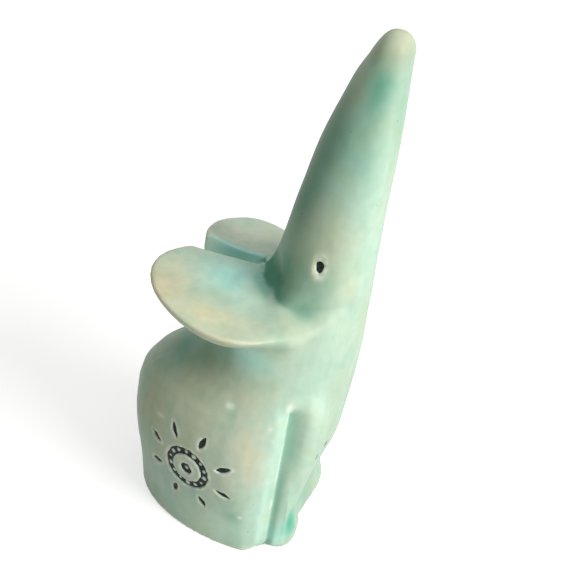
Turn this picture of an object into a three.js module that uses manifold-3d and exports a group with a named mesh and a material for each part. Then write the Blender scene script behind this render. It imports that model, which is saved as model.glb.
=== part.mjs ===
// Glazed ceramic animal figurine: body, head with raised snout, two ears, two forelegs,
// and the dark fillings laid in cut sockets. Millimetres, +Z up, the animal faces -Y.
import * as THREE from 'three';
import { mergeVertices } from 'three/addons/utils/BufferGeometryUtils.js';
import Module from 'manifold-3d';

// Overall sizes
const HEIGHT = 120;
const HIP_WIDTH = 46;
const RUMP_Y = 24.6;
const CHEST_Y = -26.6;
const BELLY_Y = -18.5;

// Levels up the figure, each measured from the one below
const HIP_HEIGHT = 27;
const SHOULDER_RISE = 17;
const CHEEK_RISE = 16;
const BROW_RISE = 7;
const SHOULDER_HEIGHT = HIP_HEIGHT + SHOULDER_RISE;
const CHEEK_HEIGHT = SHOULDER_HEIGHT + CHEEK_RISE;
const BROW_HEIGHT = CHEEK_HEIGHT + BROW_RISE;

// Foot ring, shoulder, cheek and snout
const BASE_ROUNDING = 0.7;
const BASE_WIDTH = 40.4;
const BASE_BACK_Y = 22.2;
const SHOULDER_WIDTH = 38;
const NECK_WIDTH = 36.4;
const CHEEK_WIDTH = 37.5;
const SNOUT_WIDTH = 22.5;
const SNOUT_BACK_Y = -4.2;
const MUZZLE_WIDTH = 15.8;
const MUZZLE_BACK_Y = -10.8;
const TIP_Y = -22.3;
const TIP_DOME = 5;

// Neck joint: a plane just over the shoulder that rises toward the back
const NECK_JOINT_RISE = 2.5;
const NECK_JOINT_TILT = 12;

// Ears
const EAR_THICKNESS = 4.2;
const EAR_SWELL = 3.2;
const EAR_DISH = 0.7;
const EAR_EDGE = 0.7;
const EAR_UNDERCUT = 2.6;
const EAR_FRONT_SHARE = 0.9;
const EAR_SLOT = 2.6;
const EAR_SLOT_X = 1.6;
const EAR_TOP_RISE = 3.1;
const EAR_INSET = 5.55;

// The two ears are formed by hand and differ: place, rise, outer and inner half width,
// reach to the back and to the front, and turn. They droop alike.
const RIGHT_EAR = { side: -1, y: -1.4, rise: 0, outer: 14.2, inner: 16.2, back: 22.6, front: 16.2 };
const LEFT_EAR = { side: 1, y: 7.2, rise: 0.9, outer: 11.8, inner: 14.5, back: 8, front: 11.6 };
const RIGHT_EAR_TURN = 24;
const LEFT_EAR_TURN = 0;
const EAR_DROOP = 6;

// Forelegs
const LEG_WIDTH = 12.6;
const LEG_SPACING = 7.2;
const LEG_DEPTH = 12;
const LEG_BEHIND_CHEST = 3;
const LEG_TOP_RISE = 1;
const LEG_TOP_SETBACK = 2.1;
const LEG_SHOULDER_DROP = 6;
const ANKLE_HEIGHT = 8;
const ANKLE_REACH = 1.8;
const TOE_HEIGHT = 3;
const TOE_REACH = 3;

// Groove pressed between haunch and foreleg
const GROOVE_RADIUS = 1.5;
const GROOVE_DROP = 4;
const GROOVE_INSET = 1.1;

// Cut decoration and its fillings
const SOCKET_DEPTH = 1.3;
const FILL_RECESS = 0.2;
const EYE_RISE = 6.3;
const EYE_ANGLE = 183;
const EYE_LENGTH = 2.6;
const EYE_WIDTH = 1.5;
const SUN_HEIGHT = 20.5;
const SUN_ANGLE = 162;
const RING_RADIUS = 5.7;
const RING_BAND = 1.7;
const CENTRE_RADIUS = 1.4;
const RAY_COUNT = 8;
const RAY_LENGTH = 3.5;
const RAY_WIDTH = 1.2;
const RAY_GAP = 2.5;

// Fit and fineness
const SLIP_JOINT = 0.3;
const RING_SEGMENTS = 48;
const RING_STEP = 3;

// Glaze and filling colours
const GLAZE_MINT = 0xb9d6c2;
const GLAZE_CREAM = 0xcfd8bf;
const FILLING_DARK = 0x33423c;

const wasm = await Module();
wasm.setup();

const radians = THREE.MathUtils.degToRad;

// The form from base to snout is a loft through named level sections.
// Each row: half width, front, back, widest station, front power, back power.
const UPPER_HIP = (HIP_HEIGHT + SHOULDER_HEIGHT) / 2;
const NECK_HEIGHT = (SHOULDER_HEIGHT + CHEEK_HEIGHT) / 2;
const SHELF_HEIGHT = (CHEEK_HEIGHT + BROW_HEIGHT) / 2;
const BRIDGE_HEIGHT = (BROW_HEIGHT + HEIGHT - 18) / 2;
const BRIDGE_WIDTH = (SNOUT_WIDTH + MUZZLE_WIDTH) / 2;
const frontAt = (share) => THREE.MathUtils.lerp(BELLY_Y, CHEST_Y, share);
const SECTIONS = [
  [0, BASE_WIDTH / 2, BELLY_Y, BASE_BACK_Y, -9, 3, 2],
  [HIP_HEIGHT / 3, HIP_WIDTH / 2 - 2.4, frontAt(0.2), RUMP_Y - 1.5, -8, 2.4, 2],
  [HIP_HEIGHT * 2 / 3, HIP_WIDTH / 2 - 0.7, frontAt(0.45), RUMP_Y - 0.3, -6, 1.9, 2],
  [HIP_HEIGHT, HIP_WIDTH / 2, frontAt(0.76), RUMP_Y, -5, 1.8, 2],
  [UPPER_HIP, HIP_WIDTH / 2 - 0.8, frontAt(0.9), RUMP_Y - 2.1, -6, 1.8, 2],
  [SHOULDER_HEIGHT, SHOULDER_WIDTH / 2, frontAt(0.97), RUMP_Y - 13, -8, 1.9, 2],
  [NECK_HEIGHT, NECK_WIDTH / 2, CHEST_Y, RUMP_Y - 19, -9, 2, 2],
  [CHEEK_HEIGHT, CHEEK_WIDTH / 2, CHEST_Y, RUMP_Y - 21.8, -9, 1.8, 2],
  [SHELF_HEIGHT, CHEEK_WIDTH / 2 - 5, CHEST_Y, RUMP_Y - 26.4, -12, 2, 2],
  [BROW_HEIGHT, SNOUT_WIDTH / 2 + 0.9, CHEST_Y + 0.2, SNOUT_BACK_Y + 0.6, -15, 2.4, 2],
  [BROW_HEIGHT + 5, SNOUT_WIDTH / 2, CHEST_Y + 0.3, SNOUT_BACK_Y - 1.2, -16, 2.4, 2],
  [BRIDGE_HEIGHT, BRIDGE_WIDTH / 2, CHEST_Y + 0.3, SNOUT_BACK_Y - 3.8, -17, 2.4, 2],
  [HEIGHT - 23, MUZZLE_WIDTH / 2, CHEST_Y, MUZZLE_BACK_Y, -19, 2.4, 2],
  [HEIGHT - TIP_DOME, MUZZLE_WIDTH / 2 - 2.6, CHEST_Y + 0.5, MUZZLE_BACK_Y - 6.2, TIP_Y + 1, 2.2, 2],
];
const sectionAt = new THREE.CubicInterpolant(
  SECTIONS.map((row) => row[0]),
  SECTIONS.flatMap((row) => row.slice(1)),
  6,
);

// One level outline point of the form, grown (or, below zero, inset) by an allowance.
function outlinePoint(level, angle, grow) {
  const dome = Math.max(0, level - (HEIGHT - TIP_DOME)) / TIP_DOME;
  const shrink = Math.sqrt(Math.max(0, 1 - dome * dome));
  const [half, front, back, widest, frontPower, backPower] =
    sectionAt.evaluate(Math.min(level, HEIGHT - TIP_DOME));
  const across = Math.cos(angle);
  const along = Math.sin(angle);
  const power = along < 0 ? frontPower : backPower;
  const reach = along < 0 ? widest - front : back - widest;
  const x = Math.sign(across) * Math.abs(across) ** (2 / power) * (half * shrink + grow);
  const y = Math.sign(along) * Math.abs(along) ** (2 / power) * (reach * shrink + grow);
  return new THREE.Vector3(x, widest + (TIP_Y - widest) * dome + y, level);
}

// Closed skin through rings of equal count, each end closed on its own middle.
function loft(rings) {
  const count = rings[0].length;
  const positions = rings.flat().flatMap((point) => point.toArray());
  const middles = [rings[0], rings[rings.length - 1]].map((ring) => {
    const sum = ring.reduce((total, point) => total.add(point), new THREE.Vector3());
    return sum.divideScalar(count);
  });
  const first = rings.length * count;
  positions.push(...middles[0].toArray(), ...middles[1].toArray());
  const faces = [];
  for (let side = 0; side < count; side += 1) {
    const next = (side + 1) % count;
    for (let ring = 0; ring < rings.length - 1; ring += 1) {
      const low = ring * count;
      const high = low + count;
      faces.push(low + side, low + next, high + next);
      faces.push(low + side, high + next, high + side);
    }
    const top = first - count;
    faces.push(first, next, side);
    faces.push(first + 1, top + side, top + next);
  }
  const geometry = new THREE.BufferGeometry();
  geometry.setAttribute('position', new THREE.Float32BufferAttribute(positions, 3));
  geometry.setIndex(faces);
  return geometry;
}

function solid(geometry) {
  const bare = geometry.clone();
  for (const name of Object.keys(bare.attributes)) {
    if (name !== 'position') {
      bare.deleteAttribute(name);
    }
  }
  const merged = mergeVertices(bare, 1e-4);
  return new wasm.Manifold(new wasm.Mesh({
    numProp: 3,
    vertProperties: new Float32Array(merged.attributes.position.array),
    triVerts: new Uint32Array(merged.index.array),
  }));
}

function geometryOf(manifold) {
  const mesh = manifold.getMesh();
  const geometry = new THREE.BufferGeometry();
  geometry.setAttribute('position', new THREE.BufferAttribute(mesh.vertProperties, 3));
  geometry.setIndex(new THREE.BufferAttribute(mesh.triVerts, 1));
  return geometry;
}

// Form of body and head together, grown by an allowance on every side.
function figureForm(grow) {
  const levels = [];
  const wallTop = HEIGHT - TIP_DOME;
  const wallSteps = Math.round((wallTop - BASE_ROUNDING) / RING_STEP);
  for (let step = 0; step <= wallSteps; step += 1) {
    levels.push(THREE.MathUtils.lerp(BASE_ROUNDING, wallTop, step / wallSteps));
  }
  const domeSteps = 7;
  for (let step = 1; step <= domeSteps; step += 1) {
    levels.push(wallTop + TIP_DOME * Math.sin((step / (domeSteps + 0.35)) * (Math.PI / 2)));
  }
  const ringAt = (level, allowance) => {
    const ring = [];
    for (let side = 0; side < RING_SEGMENTS; side += 1) {
      ring.push(outlinePoint(level, (side / RING_SEGMENTS) * 2 * Math.PI, allowance));
    }
    return ring;
  };
  const rings = levels.map((level) => ringAt(level, grow));
  rings.unshift(ringAt(BASE_ROUNDING * 0.3, grow - BASE_ROUNDING * 0.3));
  rings.unshift(ringAt(0, grow - BASE_ROUNDING));
  return solid(loft(rings));
}

function boxBetween(low, high) {
  const size = new THREE.Vector3().subVectors(high, low);
  const middle = new THREE.Vector3().addVectors(low, high).multiplyScalar(0.5);
  const box = new THREE.BoxGeometry(size.x, size.y, size.z);
  box.translate(middle.x, middle.y, middle.z);
  return box;
}

// Everything above the neck joint plane, moved along the plane's normal by an allowance.
function aboveNeck(shift) {
  const reach = 2 * HEIGHT;
  const block = boxBetween(
    new THREE.Vector3(-reach, -reach, shift),
    new THREE.Vector3(reach, reach, reach),
  );
  block.rotateX(radians(NECK_JOINT_TILT));
  block.translate(0, 0, SHOULDER_HEIGHT + NECK_JOINT_RISE);
  return solid(block);
}

// Oval lobe turned from its half section: crisp edge, undercut side, dished upper face.
// It thins a little toward the front, where it runs out into the cheek.
function earLobe(ear, turn) {
  const half = EAR_THICKNESS / 2;
  const edge = EAR_EDGE / ear.outer;
  const undercut = EAR_UNDERCUT / ear.outer;
  const profile = [];
  profile.push(new THREE.Vector2(0, -half - EAR_SWELL));
  profile.push(new THREE.Vector2(0.3, -half - EAR_SWELL));
  profile.push(new THREE.Vector2(0.58, -half - EAR_SWELL / 2));
  profile.push(new THREE.Vector2(1 - undercut, -half));
  profile.push(new THREE.Vector2(1 - undercut / 4, 0));
  const arcSteps = 5;
  for (let step = 0; step <= arcSteps; step += 1) {
    const bend = (step / arcSteps) * (Math.PI / 2);
    const reach = 1 - edge + edge * Math.cos(bend);
    profile.push(new THREE.Vector2(reach, half - EAR_EDGE + EAR_EDGE * Math.sin(bend)));
  }
  profile.push(new THREE.Vector2(0.6, half - EAR_DISH * 0.7));
  profile.push(new THREE.Vector2(0.3, half - EAR_DISH));
  profile.push(new THREE.Vector2(0, half - EAR_DISH));
  const lobe = new THREE.LatheGeometry(profile, 40);
  lobe.rotateX(Math.PI / 2);
  const places = lobe.attributes.position;
  for (let index = 0; index < places.count; index += 1) {
    const across = places.getX(index);
    const along = places.getY(index);
    const thin = 1 + Math.min(0, along) * (1 - EAR_FRONT_SHARE);
    places.setX(index, across * (across * ear.side > 0 ? ear.outer : ear.inner));
    places.setY(index, along * (along > 0 ? ear.back : ear.front));
    places.setZ(index, places.getZ(index) * thin);
  }
  lobe.rotateZ(ear.side * radians(turn));
  lobe.rotateY(ear.side * radians(EAR_DROOP));
  lobe.translate(
    ear.side * (CHEEK_WIDTH / 2 - EAR_INSET),
    ear.y,
    CHEEK_HEIGHT + EAR_TOP_RISE + ear.rise - half,
  );
  const innerX = EAR_SLOT_X + ear.side * EAR_SLOT / 2;
  const beyondSlot = boxBetween(
    new THREE.Vector3(ear.side > 0 ? -HEIGHT : innerX, -HEIGHT, 0),
    new THREE.Vector3(ear.side > 0 ? innerX : HEIGHT, HEIGHT, HEIGHT),
  );
  return solid(lobe).subtract(solid(beyondSlot));
}

const LEG_TOP_HEIGHT = SHOULDER_HEIGHT + LEG_TOP_RISE;
const LEG_OUTER_X = LEG_SPACING / 2 + LEG_WIDTH;

// Foreleg: a column from the shoulder to the ankle that swells into the toe.
// Each row: level, half width, front.
function foreleg(side) {
  const half = LEG_WIDTH / 2;
  const front = CHEST_Y + LEG_BEHIND_CHEST;
  const toe = BELLY_Y - TOE_REACH;
  const rows = [
    [0, half - 0.6, toe + 0.3],
    [TOE_HEIGHT / 2, half, toe],
    [TOE_HEIGHT, half, toe + 0.2],
    [ANKLE_HEIGHT, half - 0.6, BELLY_Y - ANKLE_REACH],
    [(ANKLE_HEIGHT + LEG_TOP_HEIGHT) / 2, half - 0.3, front],
    [LEG_TOP_HEIGHT - LEG_SHOULDER_DROP, half - 0.6, front - 0.2],
    [LEG_TOP_HEIGHT, half - 1.4, front + LEG_TOP_SETBACK],
  ];
  const rowAt = new THREE.CubicInterpolant(
    rows.map((row) => row[0]),
    rows.flatMap((row) => row.slice(1)),
    2,
  );
  const steps = 18;
  const segments = 32;
  const rings = [];
  for (let step = 0; step <= steps; step += 1) {
    const level = (LEG_TOP_HEIGHT * step) / steps;
    const [halfHere, frontHere] = rowAt.evaluate(level);
    const ring = [];
    for (let turn = 0; turn < segments; turn += 1) {
      const angle = (turn / segments) * 2 * Math.PI;
      const across = Math.cos(angle);
      const along = Math.sin(angle);
      const x = Math.sign(across) * Math.abs(across) ** 0.8 * halfHere;
      const y = Math.sign(along) * Math.abs(along) ** 0.8 * (LEG_DEPTH / 2);
      ring.push(new THREE.Vector3(
        side * (LEG_OUTER_X - half) + x,
        frontHere + LEG_DEPTH / 2 + y,
        level,
      ));
    }
    rings.push(ring);
  }
  return solid(loft(rings));
}

// Round-ended rod that presses the groove beside a foreleg, from under the base up.
function grooveTool(side) {
  const length = LEG_TOP_HEIGHT - GROOVE_DROP;
  const rod = new THREE.CapsuleGeometry(GROOVE_RADIUS, length, 5, 14);
  rod.rotateX(Math.PI / 2);
  rod.translate(side * LEG_OUTER_X, BELLY_Y + GROOVE_INSET, length / 2 - GROOVE_RADIUS);
  return solid(rod);
}

// Place on the form's surface: +Z of the returned matrix points out of the surface.
function surfaceFrame(level, angleDegrees) {
  const angle = radians(angleDegrees);
  const here = outlinePoint(level, angle, 0);
  const step = 0.02;
  const beside = outlinePoint(level, angle + step, 0).sub(outlinePoint(level, angle - step, 0));
  const above = outlinePoint(level + 1, angle, 0).sub(outlinePoint(level - 1, angle, 0));
  const out = new THREE.Vector3().crossVectors(beside, above).normalize();
  const right = beside.normalize();
  const up = new THREE.Vector3().crossVectors(out, right);
  return new THREE.Matrix4().makeBasis(right, up, out).setPosition(here);
}

function ovalShape(width, length) {
  const shape = new THREE.Shape();
  shape.absellipse(0, 0, width / 2, length / 2, 0, 2 * Math.PI, false, 0);
  return shape;
}

// Tapered stroke along +Y: round outer end, narrower inner end.
function rayShape(start, length, width) {
  const wide = width / 2;
  const narrow = width / 4;
  const shape = new THREE.Shape();
  shape.absarc(0, start + narrow, narrow, Math.PI, 2 * Math.PI, false);
  shape.absarc(0, start + length - wide, wide, 0, Math.PI, false);
  return shape;
}

function ringShape(outer, band) {
  const shape = new THREE.Shape();
  shape.absarc(0, 0, outer, 0, 2 * Math.PI, false);
  const hole = new THREE.Path();
  hole.absarc(0, 0, outer - band, 0, 2 * Math.PI, true);
  shape.holes.push(hole);
  return shape;
}

// Straight cutter through the surface at a placed frame.
function cutter(shape, frame, turn, fineness) {
  const reach = 4 * SOCKET_DEPTH;
  const prism = new THREE.ExtrudeGeometry(shape, {
    depth: 2 * reach,
    bevelEnabled: false,
    curveSegments: fineness,
  });
  prism.translate(0, 0, -reach);
  prism.rotateZ(turn);
  prism.applyMatrix4(frame);
  return solid(prism);
}

const form = figureForm(0);
const formGrown = figureForm(SLIP_JOINT);
const socketFloor = figureForm(-SOCKET_DEPTH);
const fillTop = figureForm(-FILL_RECESS);
const fillFoot = figureForm(-(SOCKET_DEPTH - SLIP_JOINT));

// A filling and the socket it lies in, the socket wider by the joint all round.
function inlay(fillShape, socketShape, frame, turn, fineness) {
  const filling = cutter(fillShape, frame, turn, fineness).intersect(fillTop).subtract(fillFoot);
  const socket = cutter(socketShape, frame, turn, fineness).subtract(socketFloor);
  return { filling, socket };
}

const widen = 2 * SLIP_JOINT;
const eyes = [EYE_ANGLE, 180 - EYE_ANGLE].map((angle) => inlay(
  ovalShape(EYE_WIDTH, EYE_LENGTH),
  ovalShape(EYE_WIDTH + widen, EYE_LENGTH + widen),
  surfaceFrame(BROW_HEIGHT + EYE_RISE, angle),
  0,
  10,
));

const sunFrame = surfaceFrame(SUN_HEIGHT, SUN_ANGLE);
const sunRing = inlay(
  ringShape(RING_RADIUS, RING_BAND),
  ringShape(RING_RADIUS + SLIP_JOINT, RING_BAND + widen),
  sunFrame,
  0,
  16,
);
const sunCentre = inlay(
  ovalShape(2 * CENTRE_RADIUS, 2 * CENTRE_RADIUS),
  ovalShape(2 * CENTRE_RADIUS + widen, 2 * CENTRE_RADIUS + widen),
  sunFrame,
  0,
  8,
);
const rayStart = RING_RADIUS + RAY_GAP;
const sunRays = [];
for (let ray = 0; ray < RAY_COUNT; ray += 1) {
  sunRays.push(inlay(
    rayShape(rayStart, RAY_LENGTH, RAY_WIDTH),
    rayShape(rayStart - SLIP_JOINT, RAY_LENGTH + widen, RAY_WIDTH + widen),
    sunFrame,
    ((ray + 0.5) / RAY_COUNT) * 2 * Math.PI,
    6,
  ));
}

const bodyCuts = [sunRing, sunCentre, ...sunRays].map((item) => item.socket);
bodyCuts.push(grooveTool(-1), grooveTool(1));
const headSockets = eyes.map((item) => item.socket);
const body = bodyCuts.reduce(
  (piece, cut) => piece.subtract(cut),
  form.subtract(aboveNeck(-SLIP_JOINT / 2)),
);
const head = headSockets.reduce(
  (piece, socket) => piece.subtract(socket),
  form.intersect(aboveNeck(SLIP_JOINT / 2)),
);

const figure = new THREE.Group();
figure.name = 'animal_figurine';

function addNode(name, manifold, color, roughness) {
  const material = new THREE.MeshStandardMaterial({ color, roughness, metalness: 0 });
  const mesh = new THREE.Mesh(geometryOf(manifold), material);
  mesh.name = name;
  figure.add(mesh);
}

addNode('body', body, GLAZE_MINT, 0.3);
addNode('head', head, GLAZE_MINT, 0.3);
addNode('right_ear', earLobe(RIGHT_EAR, RIGHT_EAR_TURN).subtract(formGrown), GLAZE_CREAM, 0.3);
addNode('left_ear', earLobe(LEFT_EAR, LEFT_EAR_TURN).subtract(formGrown), GLAZE_CREAM, 0.3);
addNode('right_foreleg', foreleg(-1).subtract(formGrown), GLAZE_MINT, 0.3);
addNode('left_foreleg', foreleg(1).subtract(formGrown), GLAZE_MINT, 0.3);
addNode('right_eye', eyes[0].filling, FILLING_DARK, 0.35);
addNode('left_eye', eyes[1].filling, FILLING_DARK, 0.35);
addNode('sun_ring', sunRing.filling, FILLING_DARK, 0.45);
addNode('sun_centre', sunCentre.filling, FILLING_DARK, 0.45);
sunRays.forEach((ray, index) => {
  addNode(`sun_ray_${index + 1}`, ray.filling, FILLING_DARK, 0.45);
});

// The origin is the middle of the bounding box, on the base.
const bounds = new THREE.Box3().setFromObject(figure);
const middle = bounds.getCenter(new THREE.Vector3());
for (const mesh of figure.children) {
  mesh.geometry.translate(-middle.x, -middle.y, -bounds.min.z);
  mesh.geometry.computeVertexNormals();
}

export default figure;
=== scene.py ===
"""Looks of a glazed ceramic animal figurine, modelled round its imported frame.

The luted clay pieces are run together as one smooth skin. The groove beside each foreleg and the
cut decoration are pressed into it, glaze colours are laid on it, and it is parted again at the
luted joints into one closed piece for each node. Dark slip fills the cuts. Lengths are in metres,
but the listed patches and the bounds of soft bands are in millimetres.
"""

import logging
from collections.abc import Callable, Iterable, Iterator
from dataclasses import dataclass, field
from enum import Enum

import bmesh
import bpy
import numpy as np
from mathutils import Matrix, Vector, noise
from mathutils.bvhtree import BVHTree

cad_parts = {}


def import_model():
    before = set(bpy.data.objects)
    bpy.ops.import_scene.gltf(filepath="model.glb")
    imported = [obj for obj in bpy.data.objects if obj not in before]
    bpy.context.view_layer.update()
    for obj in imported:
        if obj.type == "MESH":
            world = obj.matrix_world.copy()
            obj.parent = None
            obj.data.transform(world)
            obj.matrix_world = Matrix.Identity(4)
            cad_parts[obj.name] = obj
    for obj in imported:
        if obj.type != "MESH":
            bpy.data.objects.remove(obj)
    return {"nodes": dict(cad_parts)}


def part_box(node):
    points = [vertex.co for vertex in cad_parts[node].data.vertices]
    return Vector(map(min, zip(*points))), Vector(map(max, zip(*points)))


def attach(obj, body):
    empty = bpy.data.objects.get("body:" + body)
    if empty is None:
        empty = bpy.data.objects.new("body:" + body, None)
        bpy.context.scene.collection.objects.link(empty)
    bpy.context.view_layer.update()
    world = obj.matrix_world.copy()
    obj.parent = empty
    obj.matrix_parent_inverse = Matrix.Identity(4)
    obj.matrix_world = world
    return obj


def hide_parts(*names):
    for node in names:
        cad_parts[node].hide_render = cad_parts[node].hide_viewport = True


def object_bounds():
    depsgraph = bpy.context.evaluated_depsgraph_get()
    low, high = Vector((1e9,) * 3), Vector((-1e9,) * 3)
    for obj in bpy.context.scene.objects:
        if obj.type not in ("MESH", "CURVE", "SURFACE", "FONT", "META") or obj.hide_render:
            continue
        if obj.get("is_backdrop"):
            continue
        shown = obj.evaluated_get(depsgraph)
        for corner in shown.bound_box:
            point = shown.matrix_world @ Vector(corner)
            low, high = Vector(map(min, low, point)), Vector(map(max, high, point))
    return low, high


Triple = tuple[float, float, float]
Colour = tuple[int, int, int]
Stops = tuple[tuple[float, Colour], ...]
Socket = bpy.types.NodeSocket

LOG = logging.getLogger("figurine")
MM = 0.001
FAR = 1.0  # farther than any two points of the figure
MIDDLE = 1.364  # X of the figure's middle plane, in millimetres
EAR_SHELF = (62.5, 64)  # heights between which the ears' upper sides begin
CORNER = (6, 2)  # distances from both pieces at which a corner starts and is full

GLAZE_ATTRIBUTE = "glaze_colour"
POOL_ATTRIBUTE = "glaze_pool"
PALE_ATTRIBUTE = "pale_glaze"
NORMAL_ATTRIBUTE = "skin_normal"
OUT_ATTRIBUTE = "out_of_clay"
PIECE_ATTRIBUTE = "piece"


class Slot(Enum):
    """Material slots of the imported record."""

    MINT = "mint_glaze"
    CREAM = "cream_glaze"
    DARK = "dark_slip"


class Outline(Enum):
    """Outlines of the cut decoration, seen square to the surface."""

    SPINDLE = "spindle"
    OVAL = "oval"
    RING = "ring"


def linear(colour: Colour) -> np.ndarray:
    """Turn an 8-bit sRGB colour into scene-linear values."""
    share = np.asarray(colour, float) / 255
    return np.where(share <= 0.04045, share / 12.92, ((share + 0.055) / 1.055) ** 2.4)


def rgba(colour: Colour) -> tuple[float, float, float, float]:
    """Give a colour as the four linear values that a shader socket takes."""
    return (*linear(colour), 1.0)


def ease(value: np.ndarray, start: float, end: float) -> np.ndarray:
    """Rise smoothly from 0 at start to 1 at end, which may also lie below start."""
    share = np.clip((value - start) / (end - start), 0, 1)
    return share * share * (3 - 2 * share)


def band(length: np.ndarray, start: float, end: float) -> np.ndarray:
    """Rise smoothly, as ease does, between bounds given in millimetres."""
    return ease(length, start * MM, end * MM)


def bell(value: np.ndarray, width: float) -> np.ndarray:
    """Give a soft bump that is 1 at zero and falls away over about the width."""
    return np.exp(-((value / width) ** 2))


def wander(points: np.ndarray, size: float, seed: int) -> np.ndarray:
    """Sample soft noise, from about -1 to 1 and with bumps about the size apart, at points."""
    shift = Vector((17.3, 9.1, 5.7)) * seed
    return np.array([noise.noise(Vector(row) + shift) for row in (points / size).tolist()])


def rows(
    source: bpy.types.bpy_prop_collection, name: str, width: int, kind: type = np.float32
) -> np.ndarray:
    """Read one property of a mesh collection as an array.

    Args:
        source: vertices, edges or another collection of a mesh.
        name: the property's name.
        width: how many numbers each item holds.
        kind: numpy type that the collection stores.

    Returns:
        An array with one row for each item.
    """
    values = np.empty(len(source) * width, kind)
    source.foreach_get(name, values)
    return values.reshape(-1, width)


def spots(node: bpy.types.Object) -> np.ndarray:
    """Give the corners of a CAD node, each of them once."""
    return np.unique(rows(node.data.vertices, "co", 3).round(7), axis=0).astype(float)


def search_tree(mesh: bpy.types.Mesh, points: np.ndarray) -> BVHTree:
    """Make a mesh's faces, with their corners at the points, ready to search."""
    return BVHTree.FromPolygons(points.tolist(), [tuple(face.vertices) for face in mesh.polygons])


def runs(items: Iterable, beside: Callable) -> Iterator[list]:
    """Sort items into runs that hang together.

    Args:
        items: the points or edges to sort.
        beside: gives what lies next to one of them.

    Yields:
        The items of one run after another.
    """
    left = dict.fromkeys(items)
    while left:
        front = [left.popitem()[0]]
        run = []
        while front:
            item = front.pop()
            run.append(item)
            for other in beside(item):
                if other in left:
                    del left[other]
                    front.append(other)
        yield run


def stand(name: str, data: bpy.types.ID) -> bpy.types.Object:
    """Put a mesh, lamp or camera into the scene.

    Args:
        name: the new object's name.
        data: what it shows.

    Returns:
        The object.
    """
    thing = bpy.data.objects.new(name, data)
    bpy.context.scene.collection.objects.link(thing)
    return thing


class Surface:
    """A mesh's points and edges as arrays, with the averaging that smooths them."""

    def __init__(self, mesh: bpy.types.Mesh) -> None:
        """Read a mesh.

        Args:
            mesh: the mesh to work on.
        """
        self.mesh = mesh
        self.points = rows(mesh.vertices, "co", 3).astype(float)
        self.edges = rows(mesh.edges, "vertices", 2, np.int32)
        self.degree = np.bincount(self.edges.ravel(), minlength=len(self.points))

    def write(self) -> None:
        """Put the points back into the mesh."""
        self.mesh.vertices.foreach_set("co", self.points.astype(np.float32).ravel())
        self.mesh.update()

    def normals(self) -> np.ndarray:
        """Give the unit normals of the points as they are now."""
        self.write()
        return rows(self.mesh.vertex_normals, "vector", 3).astype(float)

    def around(self, values: np.ndarray) -> np.ndarray:
        """Average each point's neighbours.

        Args:
            values: one row for each point.

        Returns:
            The neighbours' mean, of the same shape.
        """
        first, second = self.edges.T
        total = np.empty_like(values)
        for column in range(values.shape[1]):
            part = values[:, column]
            total[:, column] = np.bincount(first, part[second], len(part))
            total[:, column] += np.bincount(second, part[first], len(part))
        return total / self.degree[:, None]

    def pull(self) -> np.ndarray:
        """Give the way from each point to the mean of its neighbours."""
        return self.around(self.points) - self.points

    def blurred(self, values: np.ndarray, passes: int) -> np.ndarray:
        """Average values with their neighbours, over and over.

        Args:
            values: one row for each point.
            passes: how often they are averaged.

        Returns:
            The blurred values.
        """
        for _ in range(passes):
            values = (values + self.around(values)) / 2
        return values

    def relax(
        self,
        passes: int,
        share: np.ndarray | float = 1.0,
        steps: tuple[float, ...] = (0.5, -0.515),
    ) -> None:
        """Smooth the points.

        Args:
            passes: how often they are smoothed.
            share: how far each point takes part, from 0 to 1.
            steps: moves toward the neighbours, of which one below zero keeps the form from
                shrinking.
        """
        for _ in range(passes):
            for step in steps:
                self.points += step * share * self.pull()

    def paint(self, name: str, values: np.ndarray) -> None:
        """Store values on the points for the materials.

        Args:
            name: the attribute's name.
            values: one number, or one row of three, for each point.
        """
        colour = values.ndim == 2
        kind = "FLOAT_COLOR" if colour else "FLOAT"
        layer = self.mesh.attributes.get(name) or self.mesh.attributes.new(name, kind, "POINT")
        if colour:
            values = np.column_stack([values, np.ones(len(values))])
        layer.data.foreach_set("color" if colour else "value", values.astype(np.float32).ravel())

    def painted(self, name: str) -> np.ndarray:
        """Read a colour attribute back as rows of three linear values."""
        return rows(self.mesh.attributes[name].data, "color", 4)[:, :3].astype(float)


@dataclass(frozen=True)
class Patch:
    """A soft-edged place on the figure, in millimetres.

    Attributes:
        at: its middle.
        reach: its half sizes along X, Y and Z.
    """

    at: Triple
    reach: Triple

    def cover(self, points: np.ndarray) -> np.ndarray:
        """Give how far each point belongs to the place, from 0 to 1."""
        offset = (points / MM - self.at) / self.reach
        return np.exp(-(offset**2).sum(axis=1))


@dataclass(frozen=True)
class Wash(Patch):
    """One soft patch of colour: most are glaze colours, some are painted light and painted shade.

    Attributes:
        tint: sRGB colour of the patch.
        strength: share of the tint in the middle.
    """

    tint: Colour
    strength: float

    def mirrored(self, lower: float = 2, weaker: float = 0.8) -> "Wash":
        """Give the like patch on the figure's other side.

        Args:
            lower: how much lower it is set.
            weaker: its strength as a share of this one's.

        Returns:
            The other patch.
        """
        across, along, up = self.at
        at = (2 * MIDDLE - across, along, up - lower)
        return Wash(at, self.reach, self.tint, weaker * self.strength)


@dataclass(frozen=True)
class Touch(Patch):
    """One push of the thumb on the soft clay.

    Attributes:
        move: how far the middle is pushed along X, Y and Z, in millimetres.
        piece: the only clay piece that is pushed, or an empty name for all.
    """

    move: Triple
    piece: str = ""

    def shift(self, points: np.ndarray) -> np.ndarray:
        """Give how far each point is pushed."""
        return self.cover(points)[:, None] * np.array(self.move) * MM


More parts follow.
